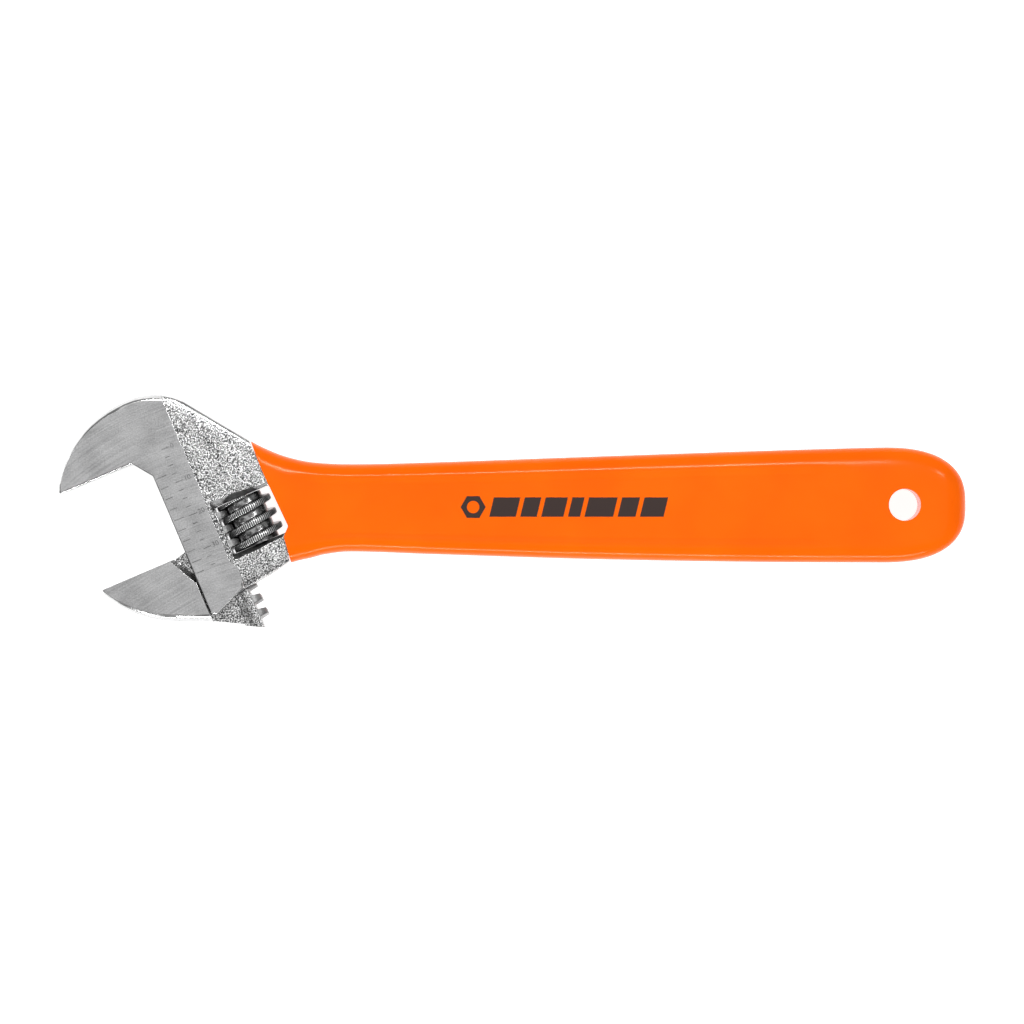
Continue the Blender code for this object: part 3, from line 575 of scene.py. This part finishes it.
def make_jaw():
    """The sliding jaw: ground blade, bright belly, blasted web and rail, smooth rack teeth,
    painted shade on the drafted relief band.
    """
    jaw = worked_copy("movable_jaw", "hook_jaw")
    soften(jaw, 0.14 * MM, 2)
    trim_to_faces(jaw)

    def choose(middle, normal):
        height = abs(middle.z)
        if on_ground_face(middle, normal):
            return JAW_GROUND
        if middle.x > RAIL_AXIS_X + TOOTH_ROOT:
            return MILLED
        on_web = middle.x > -4.5 * MM and height < WEB_LEVEL and abs(normal.z) > 0.9
        on_rail = RAIL_AXIS_X - RAIL_REACH < middle.x and height < RAIL_REACH
        if on_web or on_rail:
            return BLASTED
        # The steep drafted band beside the throat gets SHADED: painted shade.
        drafted = -5.6 * MM < middle.x < 0.5 * MM and 0.08 < abs(normal.z) < 0.6
        if drafted and middle.y > -OPENING - 12 * MM and height < GROUND_LEVEL - 0.4 * MM:
            return SHADED
        return ROLLED

    finish_faces(jaw, (JAW_GROUND, BLASTED, ROLLED, MILLED, SHADED), choose)
    smooth(jaw)
    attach(jaw, "jaw")
    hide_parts("movable_jaw")


# ---------------------------------------------------------------- knurl, pin and spring

KNURL_POINTS = [JAW_FRAME.inverted() @ Vector(v.co) for v in frame["nodes"]["knurl"].data.vertices]
KNURL_LENGTH = 2 * max(p.y - KNURL_MIDDLE.y for p in KNURL_POINTS)
KNURL_RADIUS = max(p.z for p in KNURL_POINTS)
KNURL_CORE_RADIUS = 5.55 * MM
KNURL_LEAD = 4.2 * MM
KNURL_PLACE = JAW_FRAME @ Matrix(((-1, 0, 0, KNURL_MIDDLE.x), (0, 0, 1, KNURL_MIDDLE.y),
                                  (0, 1, 0, 0), (0, 0, 0, 1)))
GROOVES_A_TURN = 76
SAMPLES_A_GROOVE = 4
GROOVE_DEPTH = 0.24 * MM
KNURL_BORE = 2.0 * MM
SPRING_POCKET = (3.3 * MM, 4.5 * MM)  # radius and depth


def ridge_profile():
    """One pitch of the knurl's outline: height along the axis, radius, and share of knurling."""
    crest, root, core = 0.85, 1.1, KNURL_CORE_RADIUS / MM
    top = KNURL_RADIUS / MM
    side = [(-2.1, core, 0), (-1.75, core, 0), (-1.45, core, 0), (-1.25, core + 0.06, 0),
            (-root - 0.03, core + 0.25, 0), (-root + 0.08, core + 0.9, 0),
            (-crest - 0.06, top - 0.6, 0), (-crest + 0.02, top - 0.28, 0.15),
            (-crest + 0.2, top - 0.06, 0.8), (-0.4, top, 1)]
    points = side + [(-h, r, k) for h, r, k in reversed(side)]
    return [(h * MM, r * MM, k) for h, r, k in points]


def make_knurl():
    """The knurl: a right-handed rounded ridge with a cross-grooved crest, bored for its pin."""
    profile = ridge_profile()
    turns = math.ceil(KNURL_LENGTH / KNURL_LEAD) + 2
    columns = turns * GROOVES_A_TURN * SAMPLES_A_GROOVE

    def shape(u, v):
        height, radius, knurled = profile[round(v * (len(profile) - 1))]
        step = round(u * columns)
        angle = 2 * math.pi * step / (GROOVES_A_TURN * SAMPLES_A_GROOVE)
        if step % SAMPLES_A_GROOVE == 0:
            radius -= GROOVE_DEPTH * knurled
        rise = KNURL_LEAD * (angle / (2 * math.pi) - turns / 2)
        turned = math.pi + angle - math.pi * (turns % 2)
        return (radius * math.cos(turned), radius * math.sin(turned), rise + height)

    knurl = grid_over("fine_knurl", columns, len(profile) - 1, shape, close=False)
    crest = KNURL_RADIUS - 0.33 * MM
    for material in (KNURL, KNURL_LAND_PAINTED_HIGHLIGHT, KNURL_GROOVE_PAINTED_SHADE):
        knurl.data.materials.append(material)
    # Crest faces: lands get the painted highlight, groove faces the painted shade.
    for face in knurl.data.polygons:
        reach = face.center.xy.length
        if reach > crest:
            angle = math.atan2(face.center.y, face.center.x) / (2 * math.pi) * GROOVES_A_TURN
            face.material_index = 1 if 0.25 < angle % 1 < 0.75 else 2
    pick(knurl)
    bpy.ops.object.mode_set(mode="EDIT")
    for side in (1, -1):
        bpy.ops.mesh.select_all(action="SELECT")
        bpy.ops.mesh.bisect(plane_co=(0, 0, side * KNURL_LENGTH / 2), plane_no=(0, 0, side),
                            clear_outer=True, use_fill=True, threshold=1e-7)
    bpy.ops.mesh.select_all(action="SELECT")
    bpy.ops.mesh.normals_make_consistent(inside=False)
    bpy.ops.object.mode_set(mode="OBJECT")
    deselect()
    bpy.ops.mesh.primitive_cylinder_add(vertices=48, radius=KNURL_BORE, depth=2 * KNURL_LENGTH)
    cut(knurl, bpy.context.object)
    radius, depth = SPRING_POCKET
    deselect()
    bpy.ops.mesh.primitive_cylinder_add(vertices=48, radius=radius, depth=2 * depth,
                                        location=(0, 0, KNURL_LENGTH / 2))
    cut(knurl, bpy.context.object)
    knurl.data.transform(KNURL_PLACE)
    smooth(knurl, 42)
    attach(knurl, "knurl")
    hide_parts("knurl")


def finish_pin_and_spring():
    """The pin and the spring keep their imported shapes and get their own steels."""
    for node, material in (("knurl_pin", PIN), ("knurl_spring", SPRING)):
        slots = frame["nodes"][node].material_slots
        for slot in slots:
            slot.material = material


# ---------------------------------------------------------------- grip

WAIST_X = 57 * MM
END_CAP = 24.7 * MM
END_CAP_POWER = 2.55
GRIP_HALF_THICKNESS = 7.2 * MM
GRIP_POWER = 3.6
SKIN = 2.0 * MM
BAR_POWER = 7.0
PANEL_DEPTH = 0.7 * MM
PANEL_START = (42 * MM, 50 * MM)  # where the pressed panel begins and reaches its depth
PANEL_SLANT = 0.25  # of that start, for each unit of height
PANEL_SIDES = (0.54, 0.74)  # where its sides begin and end, as shares of the half width
PANEL_FROM_END = 30 * MM
PANEL_FADE = 20 * MM
FOOT_BELOW_FACE = 8.3 * MM
SHOULDER = [(8, 17.6), (20, 10.6), (29.5, 4.9), (34.6, 2.4), (39.6, 0.55), (46.3, -0.85)]
FOOT_FLARE = [(27, 1.0), (36, 0.52), (40.7, 0.275), (46.3, 0.15), (50, 0.066)]
HANDLE_UPPER = [(0, -1.41), (0.15, -0.93), (0.455, 0.69), (0.76, 2.24), (1, 3.25), (1.18, 3.6)]
HANDLE_LOWER = [(0, -26.0), (0.15, -26.7), (0.455, -28.1), (0.76, -28.9), (1, -29.07),
                (1.18, -29.2)]
SQUARE_X = 62 * MM
HOLE_FROM_END = 17.5 * MM
HOLE_RADIUS = 4.45 * MM
HOLE_LINING = 1.0 * MM
WINDOW_SIDE_PLAY = 1.5 * MM
MOUTH_X = KNURL_MIDDLE.x + KNURL_RADIUS + WINDOW_SIDE_PLAY  # level with the knurl
MOUTH_EASE = 14 * MM  # over which the sections straighten behind the mouth
LIP_ROUNDING = 0.3 * MM
PRINT_LIFT = 0.03 * MM


def handle_edges():
    """Both edges of the handle from the head to its end, as points in metres."""
    def along(share):
        return WAIST_X + (HANDLE_END - END_CAP - WAIST_X) * share

    waist = HANDLE_LOWER[0][1] * MM
    drop = waist + OPENING + FOOT_BELOW_FACE
    upper = [(x * MM, y * MM) for x, y in SHOULDER]
    upper += [(along(share), y * MM) for share, y in HANDLE_UPPER]
    lower = [(x * MM, waist - share * drop) for x, share in FOOT_FLARE]
    lower += [(along(share), y * MM) for share, y in HANDLE_LOWER]
    return upper, lower


UPPER_EDGE, LOWER_EDGE = handle_edges()


def edge_height(edge, x):
    """Height of a smooth edge through its points at x."""
    i = max(k for k in range(len(edge) - 1) if k == 0 or edge[k][0] <= x)
    (x0, y0), (x1, y1) = edge[i], edge[i + 1]
    before, after = edge[max(i - 1, 0)], edge[min(i + 2, len(edge) - 1)]
    slope0 = (y1 - before[1]) / (x1 - before[0])
    slope1 = (after[1] - y0) / (after[0] - x0)
    span = x1 - x0
    t = (x - x0) / span
    return (y0 * (1 + 2 * t) * (1 - t) ** 2 + slope0 * span * t * (1 - t) ** 2
            + y1 * t * t * (3 - 2 * t) + slope1 * span * t * t * (t - 1))


def mouth_outline():
    """Where the grip ends at the head, in the jaw frame, from the upper to the lower edge."""
    face = -OPENING / MM
    x = MOUTH_X / MM
    line = [(x - 0.5, 6.0), (x - 0.5, -7.4), (x - 0.7, -16.0), (x, face - 4.0),
            (x - 2.3, face - 6.0), (x - 3.3, face - 13.5), (x - 3.8, face - 21.0)]
    return [(a * MM, b * MM) for a, b in line]


MOUTH = mouth_outline()


def to_mouth(point, shift):
    """The move across that brings a point of the handle frame onto the mouth, less a shift."""
    place = Matrix.Rotation(-HEAD_ANGLE, 2) @ point
    i = sum(1 for _, y in MOUTH[1:-1] if place.y < y)
    (x0, y0), (x1, y1) = MOUTH[i], MOUTH[i + 1]
    mouth_x = x0 + (x1 - x0) * (place.y - y0) / (y1 - y0)
    return ACROSS.to_2d() * (mouth_x - shift - place.x)


def mouth_end(edge, shift):
    """Point where an edge of the handle meets the mouth."""
    low, high = 10 * MM, SQUARE_X
    for _ in range(30):
        x = (low + high) / 2
        point = Vector((x, edge_height(edge, x)))
        if to_mouth(point, shift).x > 0:
            low = x
        else:
            high = x
    return point


def handle_form(name, inset, power, columns, rows, shift):
    """The handle's form, inset from the outside of the vinyl, from a line before the mouth."""
    end = HANDLE_END - inset
    cap_length = END_CAP - inset
    panel_end = HANDLE_END - PANEL_FROM_END
    start_upper, start_lower = mouth_end(UPPER_EDGE, shift), mouth_end(LOWER_EDGE, shift)

    def shape(u, v):
        station = max(v * rows - 1, 0) / (rows - 1)
        x = math.sin(station * math.pi / 2) * end
        share = min(x / SQUARE_X, 1)
        upper_x = max(x, start_upper.x + (SQUARE_X - start_upper.x) * share)
        lower_x = max(x, start_lower.x + (SQUARE_X - start_lower.x) * share)
        upper_y, lower_y = edge_height(UPPER_EDGE, upper_x), edge_height(LOWER_EDGE, lower_x)
        reach = Vector((upper_x - lower_x, upper_y - lower_y - 2 * inset)) / 2
        centre = Vector((upper_x + lower_x, upper_y + lower_y)) / 2
        cap = min(max((x - (end - cap_length)) / cap_length, 0), 1)
        width = (1 - cap ** END_CAP_POWER) ** (1 / END_CAP_POWER)
        thickness = (1 - cap ** 8) ** 0.5
        across, rise = superellipse(2 * math.pi * u, power)
        point = centre + reach * across * width
        chord = start_upper.lerp(start_lower, (1 - across) / 2)
        point += to_mouth(chord, shift) * (1 - ease(x, 0, MOUTH_EASE))
        panel = PANEL_DEPTH * ease(point.x + PANEL_SLANT * reach.y * across, *PANEL_START)
        panel *= 1 - ease(x, panel_end - PANEL_FADE, panel_end)
        panel *= 1 - ease(abs(across), *PANEL_SIDES)
        height = rise * (GRIP_HALF_THICKNESS - inset) * thickness
        if v * rows < 0.5:  # the first row closes the mouth along its middle line
            return (point.x, point.y, 0)
        return (point.x, point.y, height - math.copysign(panel, height) * min(abs(rise) * 2, 1))

    return grid_over(name, columns, rows, shape)


def hole_cylinder(radius, lip=0.0):
    """A cylinder through the handle at the hang hole, flared by a lip at the grip's two faces."""
    x = HANDLE_END - HOLE_FROM_END
    y = (edge_height(UPPER_EDGE, x) + edge_height(LOWER_EDGE, x)) / 2
    deselect()
    bpy.ops.mesh.primitive_cylinder_add(vertices=72, radius=radius, depth=40 * MM,
                                        location=(x, y, 0))
    cylinder = bpy.context.object
    if lip:
        for side in (1, -1):
            deselect()
            bpy.ops.mesh.primitive_cone_add(
                vertices=72, radius1=radius - lip, radius2=radius + 2 * lip, depth=3 * lip,
                location=(x, y, side * GRIP_HALF_THICKNESS),
                rotation=(0 if side > 0 else math.pi, 0, 0))
            cut(cylinder, bpy.context.object, "UNION")
    return cylinder


def make_grip():
    """The dipped grip: a soft-edged skin around the bar, rounded at its mouth and hang hole."""
    grip = handle_form("dipped_grip", 0.0, GRIP_POWER, 128, 150, 0.0)
    bar_space = handle_form("bar_space", SKIN, BAR_POWER, 64, 60, 4 * MM)
    cut(bar_space, hole_cylinder(HOLE_RADIUS + HOLE_LINING))
    cut(grip, bar_space)
    soften(grip, LIP_ROUNDING, 3, 40)
    cut(grip, hole_cylinder(HOLE_RADIUS, LIP_ROUNDING))
    grip.data.transform(HANDLE_FRAME)
    grip.data.materials.append(VINYL)
    smooth(grip, 40)
    grip.visible_glossy = False  # keeps its colour out of what the steel mirrors
    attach(grip, "frame")
    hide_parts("grip")


def make_print():
    """The mark printed on both sides of the grip: a nut and a row of slanted bars."""
    surface = GRIP_HALF_THICKNESS - PANEL_DEPTH
    middle_y = -13.5 * MM
    nut_x, nut_radius, nut_bore = 91.6 * MM, 3.5 * MM, 1.75 * MM
    first_bar_x = 97.4 * MM
    half_height = 2.7 * MM
    slant = 1.3 * MM
    widths = (7.4, 4.6, 6.2, 3.4, 8.0, 5.0, 6.6)
    gap = 1.25 * MM
    pieces = []
    for side in (1, -1):
        low, high = sorted((side * (surface - 4 * PRINT_LIFT), side * (surface + PRINT_LIFT)))
        nut = [(nut_x + nut_radius * math.cos(math.pi * k / 3),
                middle_y + nut_radius * math.sin(math.pi * k / 3)) for k in range(6)]
        piece = prism("nut_mark", nut, low, high)
        deselect()
        bpy.ops.mesh.primitive_cylinder_add(vertices=40, radius=nut_bore, depth=40 * MM,
                                            location=(nut_x, middle_y, 0))
        cut(piece, bpy.context.object)
        pieces.append(piece)
        x = first_bar_x
        for width in widths:
            end = x + width * MM
            bar = [(x - slant, middle_y - half_height), (end - slant, middle_y - half_height),
                   (end, middle_y + half_height), (x, middle_y + half_height)]
            pieces.append(prism("bar_mark", bar, low, high))
            x += width * MM + gap
    mark = join("printed_mark", pieces)
    mark.data.transform(HANDLE_FRAME)
    mark.data.materials.append(INK)
    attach(mark, "frame")


# ---------------------------------------------------------------- camera, floor and light

def make_camera():
    """A long lens straight above the wrench."""
    data = bpy.data.cameras.new("camera")
    data.lens = LENS
    data.sensor_width = SENSOR
    data.clip_start = 0.05
    camera = bpy.data.objects.new("camera", data)
    bpy.context.scene.collection.objects.link(camera)
    distance = VIEW_WIDTH * LENS / SENSOR
    camera.location = (VIEW_CENTRE.x, VIEW_CENTRE.y, HALF_THICKNESS + distance)
    bpy.context.scene.camera = camera


def make_floor():
    """A plain pale floor that gives off most of its own light, so that it stays nearly white."""
    deselect()
    bpy.ops.mesh.primitive_plane_add(size=6, location=(0, 0, -0.1 * MM))
    floor = bpy.context.object
    floor.name = "floor"
    paint = Finish("pale_floor", (0.55, 0.55, 0.55), 0.0, 0.9)
    paint.shader.inputs["Specular IOR Level"].default_value = 0.0
    paint.shader.inputs["Emission Color"].default_value = (1, 1, 1, 1)
    paint.shader.inputs["Emission Strength"].default_value = 0.92
    floor.data.materials.append(paint.material)


def area_light(name, location, target, size, power):
    """A soft rectangular light aimed at a point."""
    data = bpy.data.lights.new(name, "AREA")
    data.shape = "RECTANGLE"
    data.size, data.size_y = size
    data.energy = power
    light = bpy.data.objects.new(name, data)
    bpy.context.scene.collection.objects.link(light)
    light.location = location
    light.rotation_euler = (Vector(target) - Vector(location)).to_track_quat("-Z", "Y").to_euler()


def make_light():
    """A dim room, a wide soft sheet overhead and four smaller lights around the wrench."""
    world = bpy.data.worlds.new("dim_white")
    world.use_nodes = True
    background = world.node_tree.nodes["Background"]
    background.inputs["Color"].default_value = (1, 1, 1, 1)
    background.inputs["Strength"].default_value = 0.3
    bpy.context.scene.world = world
    area_light("overhead", (0, 0, 2.4), (0, 0, 0), (3.0, 3.0), 14)
    area_light("key", (-0.01, 0.55, 0.9), (0, 0, 0), (0.3, 0.1), 5)
    area_light("low", (0.0, -1.1, 0.32), (0, 0, 0), (0.9, 0.09), 9)
    area_light("right", (0.52, 0.42, 0.95), (0.1, 0, 0), (0.16, 0.16), 1.6)
    area_light("left", (-1.1, 0.25, 0.45), (-0.1, 0, 0), (0.5, 0.35), 3)
    bpy.context.scene.view_settings.view_transform = "Standard"


make_camera()
make_floor()
make_light()
make_head()
make_jaw()
make_knurl()
finish_pin_and_spring()
make_grip()
make_print()
